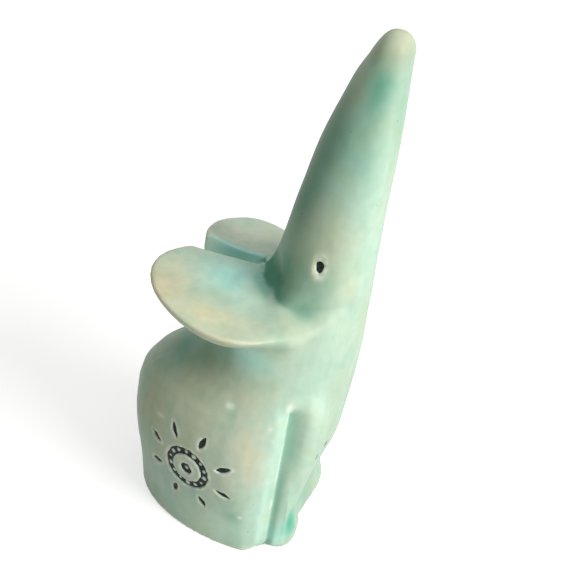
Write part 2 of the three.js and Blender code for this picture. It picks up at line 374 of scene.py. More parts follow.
@dataclass(frozen=True)
class Pad(Patch):
    """A pad of soft clay pressed into a corner before the pieces run together.

    Attributes:
        piece: the clay piece that it belongs to.
        lap: how far round the pad its faces count to that piece, by squared share of its size.
    """

    piece: str
    lap: float = 1.5

    def add(self, clay: bmesh.types.BMesh) -> None:
        """Add the pad to the joined clay pieces."""
        place = Matrix.Translation(Vector(self.at) * MM) @ Matrix.Diagonal((*self.reach, 1))
        bmesh.ops.create_icosphere(clay, subdivisions=3, radius=MM, matrix=place)


class NodeSheet:
    """The node tree of a material or of the world, with short calls for the nodes used here."""

    def __init__(self, owner: bpy.types.Material | bpy.types.World) -> None:
        """Start with an empty tree.

        Args:
            owner: the material or world that the tree belongs to.
        """
        self.owner = owner
        owner.use_nodes = True
        self.tree = owner.node_tree
        self.tree.nodes.clear()

    def add(
        self, kind: str, takes: dict[str | int, object] | None = None, **settings: object
    ) -> bpy.types.Node:
        """Add a node.

        Args:
            kind: Blender's name of the node type.
            takes: what its inputs take, each another node's output or a fixed value.
            **settings: properties to set on it.

        Returns:
            The new node.
        """
        node = self.tree.nodes.new(kind)
        for key, value in settings.items():
            setattr(node, key, value)
        for key, value in (takes or {}).items():
            if isinstance(value, Socket):
                self.tree.links.new(value, node.inputs[key])
            else:
                node.inputs[key].default_value = value
        return node

    def place(self) -> Socket:
        """Give the coordinates of the surface, in the object's own frame."""
        return self.add("ShaderNodeTexCoord").outputs["Object"]

    def stored(self, name: str, output: str) -> Socket:
        """Give an attribute that was painted on the points."""
        return self.add("ShaderNodeAttribute", attribute_name=name).outputs[output]

    def noise(self, place: Socket, size: float, detail: float) -> Socket:
        """Add noise with bumps about the size apart and with some detail of finer layers."""
        takes = {"Vector": place, "Scale": 1 / size, "Detail": detail}
        return self.add("ShaderNodeTexNoise", takes).outputs["Fac"]

    def ramp(self, value: Socket, stops: Stops) -> Socket:
        """Grade a value through colours.

        Args:
            value: the value to grade.
            stops: places along the value, each with its sRGB colour.

        Returns:
            The graded colour.
        """
        node = self.add("ShaderNodeValToRGB", {"Fac": value})
        elements = node.color_ramp.elements
        while len(elements) < len(stops):
            elements.new(0.5)
        for element, (place, colour) in zip(elements, stops):
            element.position = place
            element.color = rgba(colour)
        return node.outputs["Color"]

    def mix(
        self,
        way: str,
        under: Socket,
        over: Socket | tuple[float, ...],
        share: Socket | float = 1.0,
    ) -> Socket:
        """Lay a share of one colour, linked or fixed, over another in a way such as MULTIPLY."""
        takes = {0: share, 6: under, 7: over}
        return self.add("ShaderNodeMix", takes, data_type="RGBA", blend_type=way).outputs[2]

    def bump(self, height: Socket, distance: float, strength: float) -> Socket:
        """Turn a height, of which 1 stands for the distance, into a bent normal."""
        takes = {"Height": height, "Distance": distance, "Strength": strength}
        return self.add("ShaderNodeBump", takes).outputs["Normal"]

    def surface(self, takes: dict[str | int, object]) -> None:
        """Add the surface shader with its inputs and join it to the output."""
        shader = self.add("ShaderNodeBsdfPrincipled", takes)
        self.add("ShaderNodeOutputMaterial", {"Surface": shader.outputs["BSDF"]})

    def looked_at(self) -> Socket:
        """Tell rays that look, straight, in a reflection or through glass, from rays that light.

        Returns:
            1 for rays that look and 0 for the others.
        """
        paths = self.add("ShaderNodeLightPath").outputs
        share = paths["Is Camera Ray"]
        for name in ("Is Glossy Ray", "Is Transmission Ray"):
            takes = {0: share, 1: paths[name]}
            share = self.add("ShaderNodeMath", takes, operation="MAXIMUM").outputs[0]
        return share


@dataclass(frozen=True)
class Mottle:
    """One layer of soft spots that shades a glaze.

    Attributes:
        size: about how far apart the spots are.
        detail: how many finer layers they hold.
        stops: places along the noise, each with the sRGB colour that multiplies there.
        drawn: scale of the height, below 1 where the spots are drawn out downward.
    """

    size: float
    detail: float
    stops: Stops
    drawn: float = 1.0

    def lay(self, nodes: NodeSheet, place: Socket, under: Socket) -> Socket:
        """Lay the spots over a colour.

        Args:
            nodes: the material's nodes.
            place: coordinates of the surface.
            under: the colour below.

        Returns:
            The shaded colour.
        """
        if self.drawn != 1.0:
            takes = {"Vector": place, "Scale": (1, 1, self.drawn)}
            place = nodes.add("ShaderNodeMapping", takes).outputs["Vector"]
        tint = nodes.ramp(nodes.noise(place, self.size, self.detail), self.stops)
        return nodes.mix("MULTIPLY", under, tint)


@dataclass(frozen=True)
class GlazeFinish:
    """Milky satin glaze. Its colours are laid on the skin, and this adds spots, runs and ripples.

    Attributes:
        name: the material's name.
        slot: the record's slot that the finish belongs to; not used.
        roughness: how matt the thin glaze is.
        coat: share of the clear layer on top.
        pool_gloss: how much glossier the glaze is where it pools.
        coat_roughness: how matt the clear layer is.
        specular: level of the plain reflection.
        ior: index of refraction.
        ripple_size: how far apart the ripples of the surface are.
        ripple_height: height of those ripples.
        layers: clouds, runs, fine mottling and pinholes.
    """

    name: str
    slot: Slot
    roughness: float = 0.56
    coat: float = 0.06
    pool_gloss: float = 0.12
    coat_roughness: float = 0.16
    specular: float = 0.2
    ior: float = 1.45
    ripple_size: float = 3.2 * MM
    ripple_height: float = 0.1 * MM
    layers: tuple[Mottle, ...] = (
        Mottle(
            7 * MM, 2.5, ((0.32, (238, 247, 241)), (0.5, (252, 252, 248)), (0.7, (255, 250, 239)))
        ),
        Mottle(3.6 * MM, 2.0, ((0.34, (246, 249, 247)), (0.56, (255, 255, 254))), drawn=0.225),
        Mottle(2.2 * MM, 3.0, ((0.36, (248, 250, 247)), (0.62, (255, 255, 255)))),
        Mottle(0.7 * MM, 1.0, ((0.79, (255, 255, 255)), (0.83, (150, 164, 148)))),
    )

    def material(self) -> bpy.types.Material:
        """Build the node material.

        Returns:
            The finished material.
        """
        nodes = NodeSheet(bpy.data.materials.new(self.name))
        place = nodes.place()
        colour = nodes.stored(GLAZE_ATTRIBUTE, "Color")
        for layer in self.layers:
            colour = layer.lay(nodes, place, colour)
        gloss = nodes.add("ShaderNodeMapRange", {
            "Value": nodes.stored(POOL_ATTRIBUTE, "Fac"),
            "To Min": self.roughness,
            "To Max": self.roughness - self.pool_gloss,
        })
        ripple = nodes.noise(place, self.ripple_size, detail=1.5)
        nodes.surface({
            "Base Color": colour,
            "Roughness": gloss.outputs["Result"],
            "Normal": nodes.bump(ripple, self.ripple_height, strength=0.3),
            "IOR": self.ior,
            "Specular IOR Level": self.specular,
            "Coat Weight": self.coat,
            "Coat Roughness": self.coat_roughness,
        })
        return nodes.owner


@dataclass(frozen=True)
class SlipFinish:
    """Dark slip rubbed into the cuts, worn thin in places.

    Attributes:
        name: the material's name.
        slot: the record's slot that the finish belongs to; not used.
        dark: sRGB colour where the slip lies thick.
        worn: sRGB colour where it is rubbed thin.
        pale: sRGB colour of the dots of pale glaze left on it.
        grain_size: size of the worn spots.
        grain_height: how high the thick slip stands over them.
        roughness: how matt the slip is.
        specular: level of the plain reflection.
    """

    name: str
    slot: Slot
    dark: Colour
    worn: Colour
    pale: Colour
    grain_size: float = 0.5 * MM
    grain_height: float = 0.05 * MM
    roughness: float = 0.6
    specular: float = 0.2

    def material(self) -> bpy.types.Material:
        """Build the node material.

        Returns:
            The finished material.
        """
        nodes = NodeSheet(bpy.data.materials.new(self.name))
        grain = nodes.noise(nodes.place(), self.grain_size, detail=4.0)
        slip = nodes.ramp(grain, ((0.42, self.dark), (0.72, self.worn)))
        dots = nodes.stored(PALE_ATTRIBUTE, "Fac")
        nodes.surface({
            "Base Color": nodes.mix("MIX", slip, rgba(self.pale), dots),
            "Normal": nodes.bump(grain, self.grain_height, strength=0.5),
            "Roughness": self.roughness,
            "Specular IOR Level": self.specular,
        })
        return nodes.owner


@dataclass
class Cut:
    """One cut of the decoration and the dark slip that fills it, measured from its CAD node.

    Attributes:
        node: the CAD node that the filling stands for.
        outline: the cut's outline.
        depth: how deep the cut is pressed.
        wall: how far its wall spreads.
        burr: height of the clay raised along its edge.
        rim: how wide the pale rim is.
        recess: how far the filling lies below the skin.
        lap: how far the filling reaches into the wall.
        lean: how far the wall leans in over the filling.
        dots: pale dots left along a ring, or 1 for one in the middle.
        dot_height: how far the dots stand up.
        foot: how far the filling reaches below the cut.
        reach: how far from its own plane the cut finds the skin.
        field_pale: how pale the glaze is inside a ring.
    """

    node: str
    outline: Outline
    depth: float = 0.6 * MM
    wall: float = 0.22 * MM
    burr: float = 0.1 * MM
    rim: float = 0.42 * MM
    recess: float = 0.22 * MM
    lap: float = 0.06 * MM
    lean: float = 0.0
    dots: int = 0
    dot_height: float = 0.12 * MM
    foot: float = 0.3 * MM
    reach: float = 4 * MM
    field_pale: float = 0.3
    centre: np.ndarray = field(init=False)
    axes: np.ndarray = field(init=False)
    half: np.ndarray = field(init=False)
    inner: float = field(init=False)

    def measure(self, node: bpy.types.Object, facing: np.ndarray) -> None:
        """Take the cut's place, directions and sizes from its CAD node.

        Args:
            node: the CAD node's object.
            facing: unit direction out of the skin at the cut.
        """
        corners = spots(node)
        mean = corners.mean(axis=0)
        level = corners - mean
        level -= np.outer(level @ facing, facing)
        along = np.linalg.svd(level, full_matrices=False)[2][0]
        if along[2] < 0:
            along = -along
        self.axes = np.array([np.cross(along, facing), along, facing])
        local = (corners - mean) @ self.axes.T
        low, high = local.min(axis=0), local.max(axis=0)
        self.centre = mean + (low + high) / 2 @ self.axes
        self.half = (high - low) / 2
        self.inner = np.hypot(*(local - (low + high) / 2)[:, :2].T).min()

    def local(self, points: np.ndarray) -> np.ndarray:
        """Give points across, along and out of the cut, one row for each direction."""
        return ((points - self.centre) @ self.axes.T).T

    def middle(self) -> float:
        """Give the radius of the middle of a ring's band."""
        return (self.half[1] + self.inner) / 2

    def distance(self, points: np.ndarray) -> np.ndarray:
        """Give how far points lie outside the outline, below zero inside it.

        Args:
            points: rows of X, Y and Z.

        Returns:
            Distances along the surface, very large on other sides of the figure.
        """
        across, along, out = self.local(points)
        wide, long = self.half[:2]
        if self.outline is Outline.RING:
            gap = np.abs(np.hypot(across, along) - self.middle()) - (long - self.inner) / 2
        elif self.outline is Outline.OVAL:
            gap = (np.hypot(across / wide, along / long) - 1) * wide
        else:
            share = np.clip(np.abs(along) / long, 0, 1)
            gap = np.abs(across) - wide * (1 - share**2)
            beyond = np.maximum(np.abs(along) - long, 0)
            gap = np.where(beyond > 0, np.hypot(across, beyond), gap)
        return np.where(np.abs(out) < self.reach, gap, FAR)

    def enclosed(self, points: np.ndarray) -> np.ndarray:
        """Give how pale the glaze is at points that a ring goes round.

        Args:
            points: rows of X, Y and Z.

        Returns:
            Shares from 0 to 1.
        """
        across, along, out = self.local(points)
        if self.outline is not Outline.RING:
            return np.zeros_like(out)
        inside = ease(np.hypot(across, along), self.inner, 0.7 * self.inner)
        return self.field_pale * inside * (np.abs(out) < self.reach)

    def grid(
        self, ring_steps: tuple[int, int] = (168, 12), stroke_steps: tuple[int, int] = (29, 13)
    ) -> np.ndarray:
        """Lay out the filling's points.

        Args:
            ring_steps: points round a ring and across its band.
            stroke_steps: points along another cut and across it.

        Returns:
            Across and along for each point, as an array of rows, columns and two.
        """
        wide, long = self.half[:2]
        if self.outline is Outline.RING:
            turns = np.linspace(0, 2 * np.pi, ring_steps[0], endpoint=False)[:, None]
            radii = np.linspace(self.inner - self.lap, long + self.lap, ring_steps[1])[None, :]
            return np.stack([radii * np.cos(turns), radii * np.sin(turns)], axis=-1)
        steps = np.sin(np.linspace(-np.pi / 2, np.pi / 2, stroke_steps[0]))
        share = 1 - steps**2
        widths = wide * (np.sqrt(share) if self.outline is Outline.OVAL else share)
        across = np.linspace(-1, 1, stroke_steps[1])[None, :] * (widths + self.lap)[:, None]
        along = np.repeat(steps[:, None] * (long + self.lap), stroke_steps[1], axis=1)
        return np.stack([across, along], axis=-1)

    def pale_share(self, across: np.ndarray, along: np.ndarray) -> np.ndarray:
        """Give where pale glaze is left on the filling.

        Args:
            across: first coordinates in the cut's own directions.
            along: second coordinates.

        Returns:
            Shares from 0 to 1.
        """
        radius = np.hypot(across, along)
        if not self.dots:
            return np.zeros_like(radius)
        if self.outline is not Outline.RING:
            return band(radius, 0.6, 0.35)
        step = 2 * np.pi / self.dots
        place = np.arctan2(along, across) + step / 2
        size = 1 + 0.28 * np.sin(4.1 * np.floor(place / step))
        gap = np.hypot(radius - self.middle(), (place % step - step / 2) * self.middle())
        return band(gap / size, 0.56, 0.36)

    def fill(self, skin: BVHTree) -> bpy.types.Object:
        """Build the filling as a closed body that follows the skin.

        Args:
            skin: the skin before it was cut.

        Returns:
            The filling's object.
        """
        grid = self.grid()
        flat = grid.reshape(-1, 2)
        pale = self.pale_share(*flat.T)
        places = self.centre + flat @ self.axes[:2]
        grain = 0.05 * MM * wander(places, 0.8 * MM, seed=3)
        out = self.axes[2]
        top, bottom = [], []
        for place, lift in zip(places, pale * self.dot_height - self.recess + grain):
            hit = np.array(skin.ray_cast(Vector(place + 6 * MM * out), Vector(-out))[0])
            top.append(hit + lift * out)
            bottom.append(hit - (self.depth + self.foot) * out)
        faces = self.faces(*grid.shape[:2], self.outline is Outline.RING)
        mesh = bpy.data.meshes.new(f"{self.node}_slip")
        mesh.from_pydata([tuple(point) for point in top + bottom], [], faces)
        mesh.polygons.foreach_set("use_smooth", np.ones(len(faces), bool))
        mesh.update()
        Surface(mesh).paint(PALE_ATTRIBUTE, np.concatenate([pale, np.zeros_like(pale)]))
        return stand(mesh.name, mesh)

    @staticmethod
    def faces(count: int, columns: int, closed: bool) -> list[tuple[int, ...]]:
        """Join two like grids, one over the other, into a closed skin.

        Args:
            count: rows in each grid.
            columns: points in each row.
            closed: whether the last row meets the first.

        Returns:
            Faces as point numbers.
        """
        under = count * columns
        found = []
        for row in range(count if closed else count - 1):
            here, there = row * columns, (row + 1) % count * columns
            for column in range(columns - 1):
                quad = (here + column, here + column + 1, there + column + 1, there + column)
                found.append(quad)
                found.append(tuple(under + corner for corner in reversed(quad)))
            for low, high in ((here, there), (there + columns - 1, here + columns - 1)):
                found.append((low, high, under + high, under + low))
        if not closed:
            last = (count - 1) * columns
            for column in range(columns - 1):
                found.append((column + 1, column, under + column, under + column + 1))
                near = last + column
                found.append((near, near + 1, under + near + 1, under + near))
        return found


@dataclass
class Groove:
    """The groove pressed between a haunch and its foreleg, measured from the leg's box.

    Attributes:
        leg: the foreleg's CAD node.
        side: -1 for the figure's right, 1 for its left.
        depth: how deep it is pressed.
        top_width: how far it rises toward the leg, at its upper end.
        foot_width: how far it rises toward the leg, at the base.
        wall_width: how far it rises toward the haunch.
        bevel: how deep the bevel between groove and haunch slopes.
        lip: height of the rounded edge where the bevel starts.
        lip_place: how far that edge lies from the groove.
        drop: how far its upper end lies below the leg's top.
        behind_front: how far its middle lies behind the leg's front.
        flare: how far its foot lies outside its upper end.
        slant: share of X and of Y in the directions across it and out of it.
        strip: section of the clay that fills the crack, out and back from the foot, in millimetres.
        strip_foot: height at which that clay begins.
        strip_drop: how far below the groove's upper end it stops.
        pooled: share of pooled glaze along it.
        thin: share of the painted light on the bevel, where it faces the lamps.
        painted_glint: share of the painted glints on its edges.
    """

    leg: str
    side: int
    depth: float = 0.7 * MM
    top_width: float = 2.4 * MM
    foot_width: float = 0.8 * MM
    wall_width: float = 0.5 * MM
    bevel: float = 0.4 * MM
    lip: float = 0.15 * MM
    lip_place: float = 3.2 * MM
    drop: float = 1.8 * MM
    behind_front: float = 7.1 * MM
    flare: float = 1.1 * MM
    slant: float = 0.7
    strip: tuple[tuple[float, float], ...] = ((0.9, 0.1), (-0.8, -2.7), (-2.6, -2.0), (-2.6, 0.6))
    strip_foot: float = 1.2 * MM
    strip_drop: float = 2 * MM
    pooled: float = 0.62
    thin: float = 0.9
    painted_glint: float = 0.7

    def foot(self) -> Vector:
        """Give the groove's middle on the base."""
        low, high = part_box(self.leg)
        return Vector((low.x if self.side < 0 else high.x, low.y + self.behind_front, 0))

    def top(self) -> float:
        """Give the height of the groove's upper end."""
        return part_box(self.leg)[1].z - self.drop

    def stop(self, clay: bmesh.types.BMesh) -> None:
        """Fill the crack between leg and haunch with a strip, before the pieces run together."""
        corners = [
            clay.verts.new(self.foot() + Vector((self.side * out * MM, back * MM, height)))
            for height in (self.strip_foot, self.top() - self.strip_drop)
            for out, back in self.strip
        ]
        bmesh.ops.convex_hull(clay, input=corners)

    def locate(self, points: np.ndarray) -> tuple[np.ndarray, np.ndarray]:
        """Find points in the groove's own directions.

        Args:
            points: rows of X, Y and Z.

        Returns:
            Distance across the groove, growing toward the haunch, and share of its full press.
        """
        across = np.array([self.side * self.slant, self.slant])
        out = np.array([self.side * self.slant, -self.slant])
        flat = points[:, :2] - np.array(self.foot())[:2]
        height, top = points[:, 2], self.top()
        middle = self.flare * np.clip(1 - height / top, 0, 1)
        ends = ease(height, top, top - 3 * MM) * band(height, -3, 1)
        return flat @ across - middle, band(np.abs(flat @ out), 5, 3) * ends

    def climb(self, points: np.ndarray) -> np.ndarray:
        """Give how high each point lies, from 0 at the base to 1 at the leg's top."""
        return np.clip(points[:, 2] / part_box(self.leg)[1].z, 0, 1)

    def leg_side(self, points: np.ndarray, across: np.ndarray) -> np.ndarray:
        """Give how the groove fades toward the leg, 1 on the haunch's side of its middle."""
        width = self.foot_width + (self.top_width - self.foot_width) * self.climb(points)
        return bell(np.minimum(across, 0), width)

    def press(self, points: np.ndarray) -> np.ndarray:
        """Give how far points move out of the skin, below zero into it.

        Args:
            points: rows of X, Y and Z.

        Returns:
            One distance for each point.
        """
        across, share = self.locate(points)
        leg_side = self.leg_side(points, across)
        slope = ease(across, self.lip_place, 0) * leg_side
        wall = bell(np.maximum(across, 0), self.wall_width) * leg_side
        wall *= 0.4 + 0.6 * self.climb(points)
        edge = bell(across - self.lip_place, 0.9 * MM)
        return share * (self.lip * edge - self.bevel * slope - self.depth * wall)

    def glaze(self, points: np.ndarray) -> tuple[np.ndarray, np.ndarray, np.ndarray]:
        """Give how the glaze, painted light and painted glints lie in and beside the groove.

        Args:
            points: rows of X, Y and Z.

        Returns:
            Shares of pooled glaze, of painted light on the bevel and of painted glints on the
            edges.
        """
        across, share = self.locate(points)
        pooled = self.pooled * share * self.leg_side(points, across) * band(across, 0.6, 0)
        # painted light on the bevel, which faces the lamps
        bevel = ease(across, self.lip_place + 1 * MM, 0.7 * self.lip_place)
        thin = self.thin * share * band(across, 0.2, 0.7) * bevel
        # painted glints: white patches along both edges of the bevel and at the upper end
        patches = ease(wander(points * (1, 1, 0.4), 1.7 * MM, seed=9), 0.1, 0.4)
        edges = bell(across - 0.6 * MM, 0.3 * MM) + bell(across - self.lip_place, 0.4 * MM)
        end = bell(across - 0.3 * MM, 0.6 * MM) * bell(points[:, 2] - self.top() + 1 * MM, 0.7 * MM)
        white = self.painted_glint * share * patches * edges + end * (share > 0)
        return pooled, thin, np.minimum(white, 1)


@dataclass
class Figure:
    """The six luted clay pieces: run together, smoothed, pressed, painted and parted again.

    Attributes:
        nodes: CAD nodes by name.
        pads: pads of clay pressed into corners.
        touches: pushes of the thumb.
        washes: soft patches of glaze colour, painted light and painted shade.
        pieces: the CAD nodes of the clay pieces.
        voxel: fineness of the run-together skin.
        swell: how far the pieces are swollen so that they meet across the luted joints.
        relax_passes: smoothing passes over the whole skin.
        fillet_passes: passes that fill the hollow corners at the ears and legs.
        blend_passes: smoothing passes where an ear runs out into the cheek.
        settle_passes: smoothing passes after the pushes of the thumb.
        near_passes: averaging passes that find narrow hollows and edges.
        wide_passes: averaging passes that find broad ones.
        tool_line: how deep the line at the right ear's upper corner is pressed.
        sway: height of the hand-formed unevenness.
        sway_size: how far apart its bumps are.
        drift_size: how far apart the glaze's colours drift.
        jitter: how far the edges of the cuts wander.
        jitter_size: how far apart they wander.
        flat_below: height under which the skin is set on the base.
        wall: how deep the wall under the skin is that closes a parted piece.
        wall_passes: averaging passes for the directions in which that wall goes in.
        ground: sRGB colour of the plain glaze.
        deep: sRGB colour where it pools.
        painted_shade: sRGB colour of the painted shade at the foot of the snout, over the ears.
        pale: sRGB colour where it runs thin.
        burnished: sRGB colour of the rims of the cuts.
        frost: sRGB colour of the painted light on the bevels beside the grooves.
        painted_glint: sRGB colour of the painted glints on edges beside the grooves.
    """

    nodes: dict[str, bpy.types.Object]
    pads: tuple[Pad, ...]
    touches: tuple[Touch, ...]
    washes: tuple[Wash, ...]
    pieces: tuple[str, ...] = (
        "body", "head", "right_ear", "left_ear", "right_foreleg", "left_foreleg",
    )
    voxel: float = 0.45 * MM
    swell: float = 0.2 * MM
    relax_passes: int = 40
    fillet_passes: int = 50
    blend_passes: int = 200
    settle_passes: int = 8
    near_passes: int = 24
    wide_passes: int = 260
    tool_line: float = 0.45 * MM
    sway: float = 0.1 * MM
    sway_size: float = 9 * MM
    drift_size: float = 14 * MM
    jitter: float = 0.18 * MM
    jitter_size: float = 1.1 * MM
    flat_below: float = 0.25 * MM
    wall: float = 1.6 * MM
    wall_passes: int = 12
    ground: Colour = (196, 219, 201)
    deep: Colour = (112, 178, 160)
    # colour of the painted shade in the crease over the ears
    painted_shade: Colour = (70, 138, 116)
    pale: Colour = (226, 232, 210)
    burnished: Colour = (234, 241, 226)
    # colour of the painted light on the bevels beside the grooves
    frost: Colour = (206, 238, 222)
    # colour of the painted glints beside the grooves
    painted_glint: Colour = (240, 252, 244)
    skin: Surface = field(init=False)

    def build(self, cuts: list[Cut], grooves: list[Groove]) -> BVHTree:
        """Make the whole skin.

        Args:
            cuts: the cut decoration.
            grooves: the grooves beside the forelegs.

        Returns:
            The skin as it was before the decoration was cut, for the fillings to follow.
        """
        self.fuse(grooves)
        gaps = self.gaps()
        self.soften(gaps)
        self.paint(gaps)
        self.label(gaps)
        self.refine(cuts, grooves)
        smooth = search_tree(self.skin.mesh, self.skin.points)
        self.press(cuts, grooves)
        return smooth

    def fuse(self, grooves: list[Groove]) -> None:
        """Swell all the CAD nodes and run them together as one closed skin.

        Args:
            grooves: the grooves, whose cracks are filled first.
        """
        joined = bmesh.new()
        for node in self.nodes.values():
            joined.from_mesh(node.data)
        for groove in grooves:
            groove.stop(joined)
        for pad in self.pads:
            pad.add(joined)
        bmesh.ops.remove_doubles(joined, verts=joined.verts, dist=1e-4 * MM)
        joined.normal_update()
        for point in joined.verts:
            point.co += point.normal * self.swell
        mesh = bpy.data.meshes.new("luted_clay")
        joined.to_mesh(mesh)
        joined.free()
        clay = stand("luted_clay", mesh)
        remesh = clay.modifiers.new("run_together", "REMESH")
        remesh.mode = "VOXEL"
        remesh.voxel_size = self.voxel
        ready = clay.evaluated_get(bpy.context.evaluated_depsgraph_get())
        fused = bpy.data.meshes.new_from_object(ready)
        bpy.data.objects.remove(clay)
        self.skin = Surface(self.largest_shell(fused))
        LOG.info("skin runs together with %d points", len(self.skin.points))

    @staticmethod
    def largest_shell(mesh: bpy.types.Mesh) -> bpy.types.Mesh:
        """Keep only the outer skin of a mesh.

        Args:
            mesh: a mesh that may hold small shells inside.

        Returns:
            The same mesh with its largest shell alone.
        """
        work = bmesh.new()
        work.from_mesh(mesh)
        shells = runs(
            work.verts, lambda point: [edge.other_vert(point) for edge in point.link_edges]
        )
        outer = set(max(shells, key=len))
        inner = [point for point in work.verts if point not in outer]
        bmesh.ops.delete(work, geom=inner, context="VERTS")
        work.to_mesh(mesh)
        work.free()
        return mesh

    def gaps(self) -> np.ndarray:
        """Measure how far each point of the skin lies from each CAD piece.

        Returns:
            One row for each point and one column for each piece.
        """
        points = self.skin.points.tolist()
        columns = []
        for name in self.pieces:
            data = self.nodes[name].data
            tree = search_tree(data, rows(data.vertices, "co", 3))
            columns.append([tree.find_nearest(point)[3] for point in points])
        return np.array(columns).T

    def soften(self, gaps: np.ndarray) -> None:
        """Smooth facets and steps away, fill the hollow corners and set the base flat.

        Args:
            gaps: distances from the CAD pieces, as gaps() gives them.
        """
        skin = self.skin
        body, head, right_ear, left_ear, right_leg, left_leg = gaps.T
        ear = np.minimum(right_ear, left_ear)
        ear_corner, right_corner = np.maximum(ear, head), np.maximum(right_ear, head)
        leg_corner = np.maximum(np.minimum(right_leg, left_leg), np.minimum(body, head))
        free_edge = band(head, 1.5, 3.5) * band(ear, 1.4, 0.7)
        under_ears = band(skin.points[:, 2], 65, 62)
        crease = band(right_corner, 3, 1) * band(skin.points[:, 2], *EAR_SHELF)
        crease *= band(skin.points[:, 1], -13, -8)
        keep = (1 - 0.7 * np.maximum(free_edge, crease))[:, None]
        skin.relax(self.relax_passes, keep)
        at_ears = band(ear_corner, *CORNER) * (0.25 + 0.75 * under_ears) * (1 - crease)
        at_feet = band(skin.points[:, 2], 10, 6) * band(np.maximum(right_leg, left_leg), 11, 8)
        self.fill_corners(np.max([at_ears, band(leg_corner, *CORNER), at_feet], axis=0))
        across, along, up = skin.points.T
        cheek = band(along, -2, -9) * band(ear_corner, 9, 4) * under_ears
        shoulder = band(across, 13, 17) * band(along, 0, -4) * band(np.abs(up - 61 * MM), 7, 3)
        cheek = np.maximum(cheek, shoulder * band(left_ear, 1, 3))
        skin.relax(self.blend_passes, cheek[:, None], steps=(0.5,))
        line = crease * bell(right_corner - self.swell, 0.9 * MM)
        skin.points -= (self.tool_line * line)[:, None] * skin.normals()
        for touch in self.touches:
            shift = touch.shift(skin.points)
            if touch.piece:
                shift *= band(gaps[:, self.pieces.index(touch.piece)], 1.2, 0.6)[:, None]
            skin.points += shift
        skin.relax(self.settle_passes, keep)
        normals = skin.normals()
        uneven = self.sway * band(skin.points[:, 2], 1, 4)
        uneven *= wander(skin.points, self.sway_size, seed=1)
        skin.points += (uneven - self.swell)[:, None] * normals
        height = skin.points[:, 2]
        skin.points[:, 2] = np.where(height < self.flat_below, 0, height)
        skin.write()

    def fill_corners(self, share: np.ndarray) -> None:
        """Lift the hollow corners of the skin to a round.

        Args:
            share: how far each point takes part, from 0 to 1.
        """
        for turn in range(self.fillet_passes):
            if turn % 10 == 0:
                normals = self.skin.normals()
            lift = (self.skin.pull() * normals).sum(axis=1)
            self.skin.points += (0.6 * share * np.maximum(lift, 0))[:, None] * normals

    def hollow(self, passes: int, normals: np.ndarray) -> np.ndarray:
        """Measure in millimetres how hollow the skin is, below zero where it bulges."""
        around = self.skin.blurred(self.skin.points, passes)
        return ((around - self.skin.points) * normals).sum(axis=1) / MM

    def paint(self, gaps: np.ndarray) -> None:
        """Lay the glaze colours: deep where it pools, pale where it runs thin, the washes, and
        painted shade in the crease over the ears.

        Args:
            gaps: distances from the CAD pieces, as gaps() gives them.
        """
        skin = self.skin
        normals = skin.normals()
        near = self.hollow(self.near_passes, normals)
        wide = self.hollow(self.wide_passes, normals)
        pool = np.clip(ease(near, 0.02, 0.22) * 0.7 + ease(wide, 0.1, 1.6) * 0.8, 0, 1)
        thin = np.clip(ease(near, -0.03, -0.3) + 0.5 * ease(wide, -0.5, -2.5), 0, 1)
        drift = wander(skin.points, self.drift_size, seed=5)
        _, head, right_ear, left_ear, _, _ = gaps.T
        # painted shade in the crease: on the snout's steep side, just over the ears' upper sides
        foot = band(np.minimum(right_ear, left_ear), 10, 3) * band(head, 1.6, 0.8)
        foot *= ease(normals[:, 2], 0.9, 0.72)
        foot *= band(skin.points[:, 2], *EAR_SHELF) * band(skin.points[:, 1], -15, -8)
        layers = [(self.pale, thin * 0.8), (self.deep, pool * (0.85 + 0.15 * drift))]
        for wash in self.washes:
            share = wash.strength * wash.cover(skin.points)
            layers.append((wash.tint, share * (1 + 0.25 * drift)))
        # the painted shade of the crease goes over the washes
        layers.append((self.painted_shade, 0.9 * foot))
        colour = np.tile(linear(self.ground), (len(skin.points), 1))
        for tint, share in layers:
            colour += np.clip(share, 0, 1)[:, None] * (linear(tint) - colour)
        skin.paint(GLAZE_ATTRIBUTE, colour)
        skin.paint(POOL_ATTRIBUTE, pool)

    def label(
        self, gaps: np.ndarray, leg_clear: float = 2 * MM, rounds: int = 8, most: int = 3
    ) -> None:
        """Mark on each face of the skin which piece it belongs to.

        Args:
            gaps: distances from the CAD pieces, as gaps() gives them.
            leg_clear: distance from the head within which no face belongs to a leg.
            rounds: how often faces go over to the piece of most of their neighbours.
            most: how many of the four neighbours that takes.
        """
        near_head = gaps[:, self.pieces.index("head")] <= leg_clear
        legs = [name.endswith("_foreleg") for name in self.pieces]
        gaps = np.where(np.outer(near_head, legs), FAR, gaps)
        nearest = gaps.argmin(axis=1)
        for pad in self.pads:
            on_pad = pad.cover(self.skin.points) > np.exp(-pad.lap)
            nearest[on_pad & (gaps.min(axis=1) > 2 * self.swell)] = self.pieces.index(pad.piece)
        mesh = self.skin.mesh
        corners = rows(mesh.loops, "vertex_index", 1, np.int32).reshape(-1, 4)
        votes = (nearest[corners][:, :, None] == np.arange(len(self.pieces))).sum(axis=1)
        owner = votes.argmax(axis=1)
        sides = rows(mesh.loops, "edge_index", 1, np.int32).ravel()
        first, second = (np.argsort(sides, kind="stable").reshape(-1, 2) // 4).T
        for _ in range(rounds):
            votes = np.zeros((len(owner), len(self.pieces)))
            np.add.at(votes, (first, owner[second]), 1)
            np.add.at(votes, (second, owner[first]), 1)
            owner = np.where(votes.max(axis=1) >= most, votes.argmax(axis=1), owner)
        layer = mesh.attributes.new(PIECE_ATTRIBUTE, "INT", "FACE")
        layer.data.foreach_set("value", owner.astype(np.int32))

